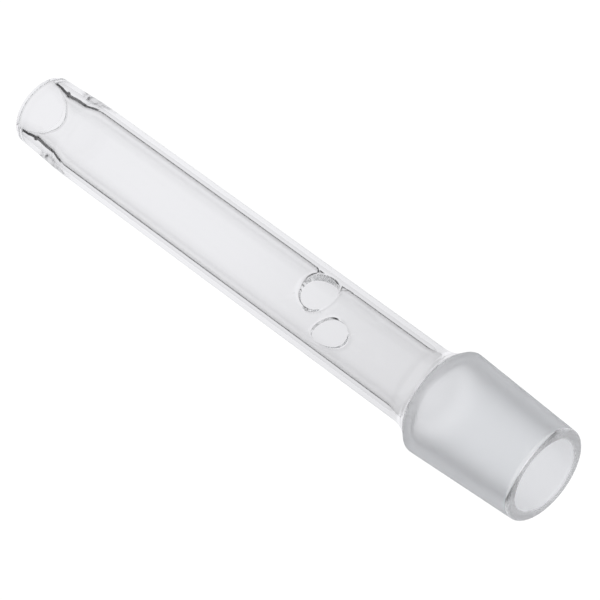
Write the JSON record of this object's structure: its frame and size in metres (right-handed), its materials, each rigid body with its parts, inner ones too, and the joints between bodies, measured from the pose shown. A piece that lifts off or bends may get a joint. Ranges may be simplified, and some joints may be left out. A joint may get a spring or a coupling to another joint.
{
  "type": "vapour tube",
  "caption": "Clear heavy-wall glass vapour tube with a frosted standard-taper male joint, opposed round side ports and a drawn-in, fire-polished open mouth.",
  "frame": {"origin": "on the tube's axis, in the joint's gauge plane, where the ground cone is widest", "axes": "+X along the axis from the open mouth to the joint's tip, +Z out of the top side port; the tube lies on its side"},
  "size_m": [0.183, 0.0292, 0.0292],
  "materials": {
    "clear_glass": "fire-polished",
    "ground_glass": "ground, frosted"
  },
  "bodies": {
    "root": {"tip_rim": "clear_glass", "ground_cone": "ground_glass", "cone_shoulder": "clear_glass", "joint_tube": "clear_glass", "port_band": "clear_glass", "top_port_lip": "clear_glass", "bottom_port_lip": "clear_glass", "long_tube": "clear_glass", "neck_shoulder": "clear_glass", "neck": "clear_glass", "mouth_rim": "clear_glass"}
  },
  "joints": []
}
